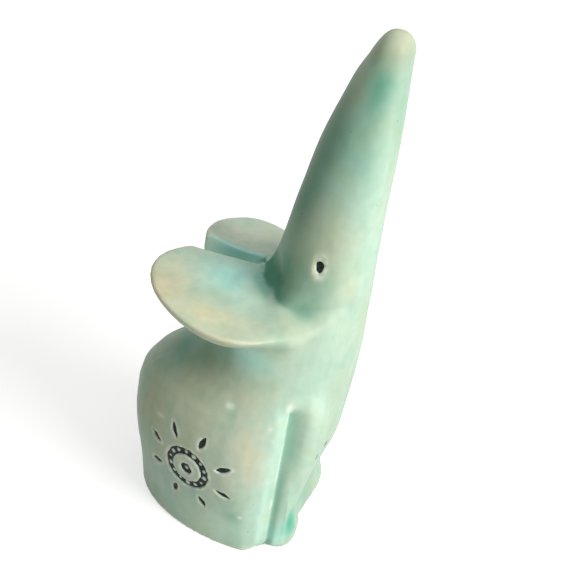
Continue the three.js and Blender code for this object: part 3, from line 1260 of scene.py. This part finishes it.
    def refine(self, cuts: list[Cut], grooves: list[Groove]) -> None:
        """Make the skin finer where it will be cut, and finer again close to the cuts.

        Args:
            cuts: the cut decoration.
            grooves: the grooves beside the forelegs.
        """
        for reach, pressed in ((2.4 * MM, grooves), (1.1 * MM, [])):
            points = self.skin.points
            chosen = np.min([cut.distance(points) for cut in cuts], axis=0) < reach
            for groove in pressed:
                across, share = groove.locate(points)
                chosen |= (np.abs(across - 0.8 * MM) < 4 * MM) & (share > 0)
            work = bmesh.new()
            work.from_mesh(self.skin.mesh)
            work.verts.ensure_lookup_table()
            edges = [edge for edge in work.edges if all(chosen[end.index] for end in edge.verts)]
            bmesh.ops.subdivide_edges(work, edges=edges, cuts=1, use_grid_fill=True)
            work.to_mesh(self.skin.mesh)
            work.free()
            self.skin = Surface(self.skin.mesh)
        fine = np.min([cut.distance(self.skin.points) for cut in cuts], axis=0)
        self.skin.relax(4, band(fine, 2, 1)[:, None])
        self.skin.write()
        LOG.info("skin refined to %d points", len(self.skin.points))

    def press(self, cuts: list[Cut], grooves: list[Groove]) -> None:
        """Press the grooves and cuts into the skin, and colour their edges, with painted light and
        painted glints beside the grooves.

        Args:
            cuts: the cut decoration.
            grooves: the grooves beside the forelegs.
        """
        skin = self.skin
        normals = skin.normals()
        colour = skin.painted(GLAZE_ATTRIBUTE)
        move = sum(groove.press(skin.points) for groove in grooves)
        jitter = wander(skin.points, self.jitter_size, seed=7)
        for cut in cuts:
            gap = cut.distance(skin.points) + cut.lean + self.jitter * jitter
            rim = bell(gap - cut.wall - cut.rim / 2, cut.rim) * np.clip(0.8 + 0.9 * jitter, 0, 1.2)
            move -= cut.depth * ease(gap, cut.wall, -cut.wall / 3)
            move += cut.burr * rim
            share = np.clip(np.maximum(rim, cut.enclosed(skin.points)), 0, 1)[:, None]
            colour += share * (linear(self.burnished) - colour)
        # beside the grooves: pooled glaze, painted light on the bevel, painted glints on the edges
        for groove in grooves:
            for tint, share in zip((self.deep, self.frost, self.painted_glint), groove.glaze(skin.points)):
                colour += share[:, None] * (linear(tint) - colour)
        skin.points += move[:, None] * normals
        skin.points[:, 2] = np.maximum(skin.points[:, 2], 0)
        skin.paint(GLAZE_ATTRIBUTE, colour)
        skin.write()

    def part(self) -> dict[str, bpy.types.Object]:
        """Part the skin at the luted joints and close each piece there.

        Returns:
            The closed pieces by the names of the CAD nodes that they stand for.
        """
        mesh = self.skin.mesh
        normals = self.skin.normals()
        out = self.skin.blurred(normals, self.wall_passes)
        out /= np.linalg.norm(out, axis=1)[:, None]
        for name, values in ((NORMAL_ATTRIBUTE, normals), (OUT_ATTRIBUTE, out)):
            layer = mesh.attributes.new(name, "FLOAT_VECTOR", "POINT")
            layer.data.foreach_set("vector", values.astype(np.float32).ravel())
        found = {}
        for index, name in enumerate(self.pieces):
            work = bmesh.new()
            work.from_mesh(mesh)
            owner = work.faces.layers.int[PIECE_ATTRIBUTE]
            away = [face for face in work.faces if face[owner] != index]
            bmesh.ops.delete(work, geom=away, context="FACES")
            joints = self.close(work)
            for face in work.faces:
                face.smooth = True
            part = bpy.data.meshes.new(f"{name}_glazed")
            work.to_mesh(part)
            work.free()
            normals = rows(part.attributes[NORMAL_ATTRIBUTE].data, "vector", 3)
            part.normals_split_custom_set_from_vertices(normals.tolist())
            for spare in (NORMAL_ATTRIBUTE, OUT_ATTRIBUTE, PIECE_ATTRIBUTE):
                part.attributes.remove(part.attributes[spare])
            found[name] = stand(part.name, part)
            LOG.info("%s: %d points, closed at %d joints", part.name, len(part.vertices), joints)
        bpy.data.meshes.remove(mesh)
        return found

    def close(self, work: bmesh.types.BMesh) -> int:
        """Close each open rim of a parted piece with a wall under the skin and a fan to its middle.

        Args:
            work: the parted piece.

        Returns:
            How many rims were closed.
        """
        out = work.verts.layers.float_vector[OUT_ATTRIBUTE]
        bare = [edge for edge in work.edges if edge.is_boundary]
        rims = list(
            runs(bare, lambda edge: [near for end in edge.verts for near in end.link_edges])
        )
        for rim in rims:
            ends = dict.fromkeys(end for edge in rim for end in edge.verts)
            deep = {end: work.verts.new(end.co - self.wall * end[out]) for end in ends}
            centre = work.verts.new(sum((end.co for end in deep.values()), Vector()) / len(deep))
            for edge in rim:
                corner = edge.link_loops[0]
                here, there = corner.vert, corner.link_loop_next.vert
                work.faces.new((there, here, deep[here], deep[there]))
                work.faces.new((deep[there], deep[here], centre))
        return len(rims)


@dataclass(frozen=True)
class PhotoCamera:
    """Camera at the photograph's viewing angle.

    Attributes:
        azimuth: degrees round the figure, 0 looking along +Y.
        elevation: degrees above the floor.
        roll: degrees of tilt about the view.
        aim: point looked at before the picture is slid.
        slide: how far the view is slid right and up.
        distance: from the point looked at.
        focal_share: focal length as a share of the picture's width.
        sensor: sensor width in millimetres.
    """

    azimuth: float = -75.68
    elevation: float = 29.45
    roll: float = 8.28
    aim: Triple = (0.8 * MM, 0.93 * MM, 55 * MM)
    slide: tuple[float, float] = (9.13 * MM, 2.3 * MM)
    distance: float = 202.3 * MM
    focal_share: float = 900 / 580
    sensor: float = 36.0

    def place(self) -> None:
        """Make the camera and make it the scene's."""
        turn, lift, roll = np.radians([self.azimuth, self.elevation, self.roll])
        level = Vector((np.cos(turn), np.sin(turn), 0))
        back = Vector((np.sin(turn) * np.cos(lift), -np.cos(turn) * np.cos(lift), np.sin(lift)))
        steep = back.cross(level)
        right = level * np.cos(roll) + steep * np.sin(roll)
        up = steep * np.cos(roll) - level * np.sin(roll)
        spot = Vector(self.aim) + right * self.slide[0] + up * self.slide[1] + back * self.distance
        data = bpy.data.cameras.new("photo_camera")
        data.sensor_width = self.sensor
        data.lens = self.focal_share * self.sensor
        data.clip_start = 10 * MM
        camera = stand("photo_camera", data)
        turned = Matrix((right, up, back)).transposed().to_4x4()
        camera.matrix_world = Matrix.Translation(spot) @ turned
        bpy.context.scene.camera = camera


@dataclass(frozen=True)
class Lamp:
    """One soft studio lamp.

    Attributes:
        name: the lamp's name.
        at: its place, in metres.
        size: edge of its square face.
        power: its power in watts.
    """

    name: str
    at: Triple
    size: float
    power: float

    def place(self, target: Vector) -> None:
        """Hang the lamp and turn it to a point.

        Args:
            target: the point that it lights.
        """
        data = bpy.data.lights.new(self.name, "AREA")
        data.size = self.size
        data.energy = self.power
        lamp = stand(self.name, data)
        lamp.location = self.at
        lamp.rotation_euler = (target - lamp.location).to_track_quat("-Z", "Y").to_euler()


@dataclass
class Studio:
    """Pale floor, white surroundings, soft lamps and the camera.

    Attributes:
        floor_radius: how far the floor reaches.
        floor_drop: how far it lies below the base.
        floor_colour: sRGB colour of the floor.
        floor_glow: light added to the floor round the figure, for rays that look at it alone.
        far_glow: the same where the lamps no longer reach.
        glow_from: distance from the figure where the glow starts to grow.
        glow_to: distance where it is full.
        ambient: strength of the light from all round.
        lamps: the studio lamps.
    """

    floor_radius: float = 3.0
    floor_drop: float = 0.05 * MM
    floor_colour: Colour = (212, 212, 210)
    floor_glow: float = 0.62
    far_glow: float = 0.95
    glow_from: float = 0.12
    glow_to: float = 0.5
    ambient: float = 0.17
    lamps: tuple[Lamp, ...] = (
        Lamp("key_lamp", (-0.25, -0.72, 0.46), 0.45, 6.6),
        Lamp("top_lamp", (-0.16, -0.1, 1.0), 0.8, 3.0),
    )

    def build(self) -> None:
        """Set up the studio."""
        self.floor()
        self.surroundings()
        low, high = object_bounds()
        for lamp in self.lamps:
            lamp.place((low + high) / 2)
        PhotoCamera().place()
        bpy.context.scene.view_settings.view_transform = "Standard"

    def floor(self) -> None:
        """Lay a round floor just under the base."""
        work = bmesh.new()
        bmesh.ops.create_circle(work, cap_ends=True, segments=96, radius=self.floor_radius)
        mesh = bpy.data.meshes.new("floor")
        work.to_mesh(mesh)
        work.free()
        floor = stand("floor", mesh)
        floor.location.z = -self.floor_drop
        nodes = NodeSheet(bpy.data.materials.new("pale_floor"))
        matt = nodes.add("ShaderNodeBsdfDiffuse", {"Color": rgba(self.floor_colour)})
        away = nodes.add("ShaderNodeVectorMath", {0: nodes.place()}, operation="LENGTH")
        grow = nodes.add("ShaderNodeMapRange", {
            "Value": away.outputs["Value"],
            "From Min": self.glow_from,
            "From Max": self.glow_to,
            "To Min": self.floor_glow,
            "To Max": self.far_glow,
        })
        glow = nodes.add("ShaderNodeEmission", {"Strength": grow.outputs["Result"]})
        takes = {0: matt.outputs["BSDF"], 1: glow.outputs["Emission"]}
        lit = nodes.add("ShaderNodeAddShader", takes)
        takes = {0: nodes.looked_at(), 1: matt.outputs["BSDF"], 2: lit.outputs["Shader"]}
        seen = nodes.add("ShaderNodeMixShader", takes)
        nodes.add("ShaderNodeOutputMaterial", {"Surface": seen.outputs["Shader"]})
        mesh.materials.append(nodes.owner)
        floor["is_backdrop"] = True

    def surroundings(self) -> None:
        """Make the world white to look at, and soft as a light."""
        nodes = NodeSheet(bpy.data.worlds.new("white_surroundings"))
        takes = {0: nodes.looked_at()}
        for socket, strength in ((1, self.ambient), (2, 1.0)):
            light = {"Strength": strength, "Color": (1, 1, 1, 1)}
            takes[socket] = nodes.add("ShaderNodeBackground", light).outputs["Background"]
        mix = nodes.add("ShaderNodeMixShader", takes)
        nodes.add("ShaderNodeOutputWorld", {"Surface": mix.outputs["Shader"]})
        bpy.context.scene.world = nodes.owner


def decoration(nodes: dict[str, bpy.types.Object]) -> list[Cut]:
    """List the cuts: two eyes, and a sun of a ring, a dot and rays.

    Args:
        nodes: CAD nodes by name.

    Returns:
        The cuts, measured from their nodes.
    """
    eye = {"depth": 0.8 * MM, "recess": 0.4 * MM, "rim": 0.65 * MM, "lean": 0.12 * MM}
    cuts = [Cut(name, Outline.OVAL, **eye) for name in ("right_eye", "left_eye")]
    cuts.append(Cut("sun_ring", Outline.RING, dots=14))
    cuts.append(Cut("sun_centre", Outline.OVAL, dots=1))
    rays = sorted(name for name in nodes if name.startswith("sun_ray_"))
    cuts += [Cut(name, Outline.SPINDLE) for name in rays]
    for cut in cuts:
        flat = "sun_ring" if cut.node.startswith("sun") else cut.node
        cut.measure(nodes[cut.node], outward(nodes[flat]))
    return cuts


def outward(flat: bpy.types.Object) -> np.ndarray:
    """Find which way a thin filling faces.

    Args:
        flat: the object of a filling that is wider than it is thick.

    Returns:
        The unit direction across its thickness, away from the figure's middle.
    """
    corners = spots(flat)
    mean = corners.mean(axis=0)
    facing = np.linalg.svd(corners - mean, full_matrices=False)[2][2]
    low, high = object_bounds()
    return facing if facing @ (mean - np.array((low + high) / 2)) > 0 else -facing


def corner_pads() -> tuple[Pad, ...]:
    """Give the pads of clay: between the feet, and under the front of the right ear."""
    return (
        Pad((1.36, -17, 4), (9, 2.9, 5), "body"),
        Pad((-16.2, -12.8, 58.9), (4.1, 4.8, 2.8), "right_ear"),
    )


def thumb_touches() -> tuple[Touch, ...]:
    """Give the pushes: crease, snout tip, haunch, feet, chest, right ear's ridge and left ear."""
    return (
        Touch((-7.5, -4, 65), (6, 5, 5.5), (1.2, -2.6, 0)),
        Touch((1.4, -16.4, 117), (6, 3.5, 4.5), (0, -0.9, 0)),
        Touch((-17.4, -13.6, 0.4), (2.2, 2.2, 1.6), (0.9, 0.7, 0.2)),
        Touch((5.5, -19.8, 2.5), (2.5, 2.5, 2.5), (0, -0.9, 0)),
        Touch((12, -19.6, 10.5), (4, 3, 3), (0, 0.5, 0)),
        Touch((4, -22, 24), (6, 4, 6), (0, -0.4, 0)),
        Touch((-12.5, -14.8, 62.8), (3, 3.5, 3), (0.5, 0.2, -0.6)),
        Touch((-13.4, -18, 60.4), (3, 3, 2), (-0.6, -0.4, 0.1)),
        Touch((-10.8, -19.6, 62), (2.5, 2.5, 2), (-0.5, -0.5, 0.2)),
        Touch((-8.6, -21, 63.6), (2.5, 2.5, 2.2), (-0.3, -0.4, 0.1)),
        Touch((4.5, 13, 65), (6, 6, 2.2), (0, 0, 1.5), "left_ear"),
        Touch((4.5, 13, 62.3), (4, 3, 2.5), (-0.6, 1.0, -0.4), "left_ear"),
        Touch((14, 16, 64), (8, 6, 4), (0, 0, 0.8), "left_ear"),
    )


def glaze_washes() -> tuple[Wash, ...]:
    """List the soft patches of colour: glaze colours, painted light and painted shade.

    Returns:
        The patches, those of both sides first.
    """
    teal, aqua, cream = (104, 172, 150), (182, 234, 222), (232, 228, 196)
    # the olive colour is a darker glaze together with painted shade, for sides away from the lamps
    beige, olive_and_painted_shade, peach = (218, 220, 190), (108, 150, 128), (228, 222, 202)
    # the second colour is painted shade, for the crease over the ears and the snout beside it
    frost, painted_shade = (212, 242, 225), (92, 150, 128)
    white, dark, sea = (244, 254, 238), (58, 70, 62), (92, 190, 168)
    paired = (
        # darker glaze with painted shade on the snout's back side
        Wash((-4, -10, 85), (6, 5.2, 13), olive_and_painted_shade, 0.9),
        Wash((-3.5, -13.5, 101), (6, 3.8, 12), olive_and_painted_shade, 0.65),
        Wash((-4.5, -20.9, 111), (4, 3.2, 8.5), teal, 0.9),
        Wash((-5.6, -18.5, 97), (4.5, 4.5, 10), teal, 0.5),
        Wash((-6, -19, 90), (5, 5, 8), aqua, 0.3),
        Wash((-9, -16.5, 80), (4, 5, 7), beige, 0.5),
        # darker glaze with painted shade low on the snout's side
        Wash((-8, -15, 83), (4, 4.5, 9), olive_and_painted_shade, 0.25),
        Wash((-8, -22, 71.5), (4, 4, 6), cream, 0.35),
        Wash((-10.5, -17, 67), (3, 3, 3), teal, 0.3),
        # painted shade on the snout's lower side, from the crease up to the eye
        Wash((-9.3, -12.8, 71), (4, 5, 6), painted_shade, 0.5),
        Wash((-13, -20, 44), (8, 8, 12), frost, 0.45),
        Wash((-16.5, 3, 42), (6, 10, 6), beige, 0.65),
        Wash((-17.5, -9, 46), (4, 5, 6), beige, 0.5),
        Wash((-18, 6, 33), (8, 12, 9), beige, 0.5),
        # painted shade with olive glaze on the figure's back edge
        Wash((-13, 17, 26), (7, 7, 13), olive_and_painted_shade, 0.38),
        Wash((-19.5, -8.6, 28), (5, 6, 11), peach, 0.6),
        # painted shade under the overhanging ears
        Wash((-14.5, 0, 50), (4.5, 6, 4.5), (82, 160, 138), 0.3),
        Wash((-11.3, 5.4, 46.6), (4.5, 5, 3.6), (60, 150, 126), 0.5),
        Wash((-5.5, 12.5, 43), (6, 6, 3.5), (120, 200, 178), 0.6),
        # painted light low on the flanks, where the floor throws light up
        Wash((-18.5, -7, 6), (8, 9, 7), (218, 246, 228), 0.9),
        Wash((-17, 8, 6), (8, 10, 6), frost, 0.35),
        Wash((-13, -19, 26), (4, 4, 10), frost, 0.5),
        Wash((-14.2, -17, 4.5), (2, 2, 4), (196, 250, 240), 0.8),
    )
    single = (
        Wash((-3, -22, 117.4), (9, 7, 4), (198, 200, 174), 0.85),
        # painted shade along the front edge of the snout
        Wash((-0.5, -25.2, 106), (3, 1.8, 13), (140, 186, 164), 0.5),
        Wash((-4, -25.4, 80), (8, 4, 22), frost, 0.5),
        # painted shade in the corner where the snout meets the right ear
        Wash((-10, -10.5, 66.3), (3, 3.2, 3), painted_shade, 0.2),
        Wash((-12, -14.4, 63.6), (2.5, 3, 2.2), painted_shade, 0.45),
        # painted shade, dark green, deep in the corner at the crease
        Wash((-7.7, -8.1, 70), (3, 3, 4), (50, 150, 122), 0.5),
        # darker glaze and painted shade on the snout's back side
        Wash((-5, -12.1, 94), (3, 3, 6), (64, 138, 110), 0.35),
        Wash((-4, 5, 63.5), (7.5, 7.5, 4), (190, 250, 245), 0.88),
        Wash((-14, 16, 62.8), (9, 7, 5), (232, 218, 186), 0.85),
        Wash((-21, 2, 61.5), (5, 10, 3), (244, 240, 206), 0.85),
        Wash((-17, -15, 61), (6, 6, 2.5), (198, 206, 180), 0.6),
        Wash((-12, -3.5, 62.8), (4, 4, 2.5), frost, 0.9),
        Wash((-9.5, -21.5, 60), (4, 4, 4), frost, 0.4),
        Wash((15, 8, 63.8), (12, 11, 2.5), white, 1.0),
        # blue glaze, made pale with painted light, on the shaded wall of the far ear's slot
        Wash((4.3, 5, 64), (1.4, 11, 3), (200, 255, 255), 1.0),
        # painted light in the shadow under the right ear
        Wash((-17, -6.5, 53.5), (5, 5.5, 5), (210, 255, 242), 1.0),
        Wash((-16.5, -12.5, 55), (4, 3.5, 3), (230, 244, 218), 0.5),
        Wash((0, -20, 5), (7, 5, 6), teal, 0.35),
        Wash((-11.3, -19.2, 6.5), (2.6, 3, 4), sea, 0.95),
        Wash((-18.9, -3.7, 40.3), (1.0, 1.0, 0.7), white, 1.6),
        # painted light on the bevel beside the right groove
        Wash((-17.8, -13.4, 27), (2, 1.5, 13), (232, 255, 244), 0.7),
        Wash((-17.8, -12.4, 12), (2, 1.7, 8), (226, 255, 244), 0.55),
        Wash((-15, 16.4, 31), (6, 5, 9), (214, 204, 150), 0.35),
        # painted glints: white at the right groove's upper end and along it
        Wash((-15.4, -16, 41.4), (0.8, 0.8, 1.1), white, 1.3),
        Wash((-18, -13.2, 36.7), (0.6, 0.6, 0.6), white, 1.0),
        Wash((-17.8, -13.9, 33.6), (0.5, 0.5, 0.6), white, 0.9),
        Wash((-16.4, -14.4, 7.6), (0.5, 0.5, 1.2), white, 0.8),
        Wash((-19.3, -7.4, 10.2), (2, 2.6, 2), (120, 196, 176), 0.45),
        Wash((-19.2, -9.2, 10.6), (0.6, 0.5, 0.5), white, 1.4),
        Wash((-17.2, 12.6, 30.8), (1.2, 1.3, 0.6), white, 0.7),
        Wash((-19.6, 8.1, 30.2), (0.8, 0.5, 0.9), white, 0.6),
        Wash((-3.4, -22.7, 25.8), (0.5, 0.6, 0.45), dark, 1.4),
        Wash((-10.2, -22.5, 27), (0.4, 0.6, 0.6), dark, 1.4),
    )
    return paired + tuple(wash.mirrored() for wash in paired) + single


def main() -> None:
    """Build the figurine round its frame and put it in the studio."""
    logging.basicConfig(level=logging.INFO, format="%(name)s: %(message)s")
    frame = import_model()
    cad_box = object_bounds()
    nodes = frame["nodes"]
    cuts = decoration(nodes)
    grooves = [Groove("right_foreleg", -1), Groove("left_foreleg", 1)]
    figure = Figure(nodes, corner_pads(), thumb_touches(), glaze_washes())
    smooth_skin = figure.build(cuts, grooves)
    mint = GlazeFinish("mint_glaze", Slot.MINT)
    cream = GlazeFinish("cream_glaze", Slot.CREAM, roughness=0.6, coat=0.04)
    slip = SlipFinish("dark_slip", Slot.DARK, (14, 22, 20), (54, 74, 66), (222, 236, 220))
    materials = {finish: finish.material() for finish in (mint, cream, slip)}
    for name, piece in figure.part().items():
        finish = cream if name.endswith("_ear") else mint
        piece.data.materials.append(materials[finish])
        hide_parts(name)
        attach(piece, "root")
    for cut in cuts:
        piece = cut.fill(smooth_skin)
        piece.data.materials.append(materials[slip])
        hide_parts(cut.node)
        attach(piece, "root")
        LOG.info("%s fills its cut", piece.name)
    Studio().build()
    sizes = {"cad": cad_box, "visual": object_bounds()}
    {key: [list(corner) for corner in box] for key, box in sizes.items()}


if __name__ == "__main__":
    main()
